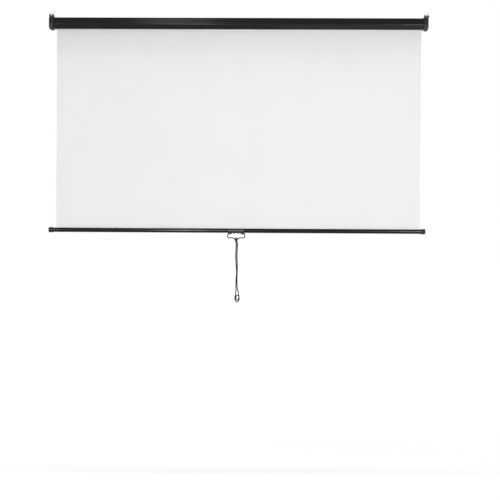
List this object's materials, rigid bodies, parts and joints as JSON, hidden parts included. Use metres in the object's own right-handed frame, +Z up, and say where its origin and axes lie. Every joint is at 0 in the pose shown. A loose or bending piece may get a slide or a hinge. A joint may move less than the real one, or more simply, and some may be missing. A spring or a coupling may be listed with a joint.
{
  "type": "projector screen",
  "caption": "Pull-down projection screen: hexagonal steel case with hanging ears, spring roller, white fabric, round weight bar, wire bail and looped pull cord.",
  "frame": {"origin": "on the case's flat back, halfway along its length and halfway up", "axes": "+X to the right along the case as the viewer faces it, +Y into the wall, +Z up"},
  "size_m": [1.6192, 0.0533, 1.2283],
  "materials": {
    "black_painted_steel": "satin black powder coat",
    "black_plastic": "black moulded plastic, fine satin",
    "white_fabric": "matte white coated cloth",
    "zinc_steel": "zinc plated",
    "spring_steel": "oiled spring wire",
    "grey_plastic": "grey moulded nylon",
    "grey_painted_steel": "dark grey satin paint",
    "black_wire": "black coated steel wire",
    "black_cord": "black braided cord"
  },
  "bodies": {
    "housing": {"case_shell": "black_painted_steel", "end_cap_left": "black_plastic", "end_cap_right": "black_plastic", "cap_screw_left_upper": "zinc_steel", "cap_screw_left_lower": "zinc_steel", "cap_screw_right_upper": "zinc_steel", "cap_screw_right_lower": "zinc_steel", "spring_arbor": "zinc_steel", "torsion_spring": "spring_steel", "idler_pin": "zinc_steel", "projection_fabric": "white_fabric"},
    "roller": {"roller_tube": "zinc_steel", "spring_plug": "grey_plastic", "idler_plug": "grey_plastic", "fabric_wrap": "white_fabric", "pawl_pin_upper": "zinc_steel", "pawl_pin_lower": "zinc_steel"},
    "pawl_upper_body": {"pawl_upper": "zinc_steel"},
    "pawl_lower_body": {"pawl_lower": "zinc_steel"},
    "weight_bar": {"bottom_bar": "black_painted_steel", "bar_cap_left": "black_plastic", "bar_cap_right": "black_plastic", "hem_rod": "grey_plastic", "handle_clip": "grey_painted_steel", "clip_rivet_left": "zinc_steel", "clip_rivet_right": "zinc_steel"},
    "bail": {"pull_bail": "black_wire"},
    "cord": {"pull_cord": "black_cord"}
  },
  "joints": [
    {"name": "bar_slide", "type": "slide", "parent": "housing", "child": "weight_bar", "axis": [0, 0, 1], "range_m": [0, 0.8365], "deforming": ["projection_fabric"]},
    {"name": "roller_spin", "type": "hinge", "parent": "housing", "child": "roller", "pos_m": [0, -0.027, 0], "axis": [1, 0, 0], "range_deg": [0, 3183]},
    {"name": "pawl_upper_pivot", "type": "hinge", "parent": "roller", "child": "pawl_upper_body", "pos_m": [-0.7912, -0.0335, 0.007], "axis": [1, 0, 0], "range_deg": [0, 25]},
    {"name": "pawl_lower_pivot", "type": "hinge", "parent": "roller", "child": "pawl_lower_body", "pos_m": [-0.7912, -0.0205, -0.007], "axis": [1, 0, 0], "range_deg": [-25, 0]},
    {"name": "bail_swing", "type": "hinge", "parent": "weight_bar", "child": "bail", "pos_m": [-0.0045, -0.013, -0.8916], "axis": [1, 0, 0], "range_deg": [-105, 15]},
    {"name": "cord_swing", "type": "hinge", "parent": "bail", "child": "cord", "pos_m": [-0.0045, -0.013, -0.91412], "axis": [1, 0, 0], "range_deg": [-30, 30]}
  ],
  "couplings": [
    {"joint": "roller_spin", "follows": "bar_slide", "rad_per_m": 66.4}
  ]
}
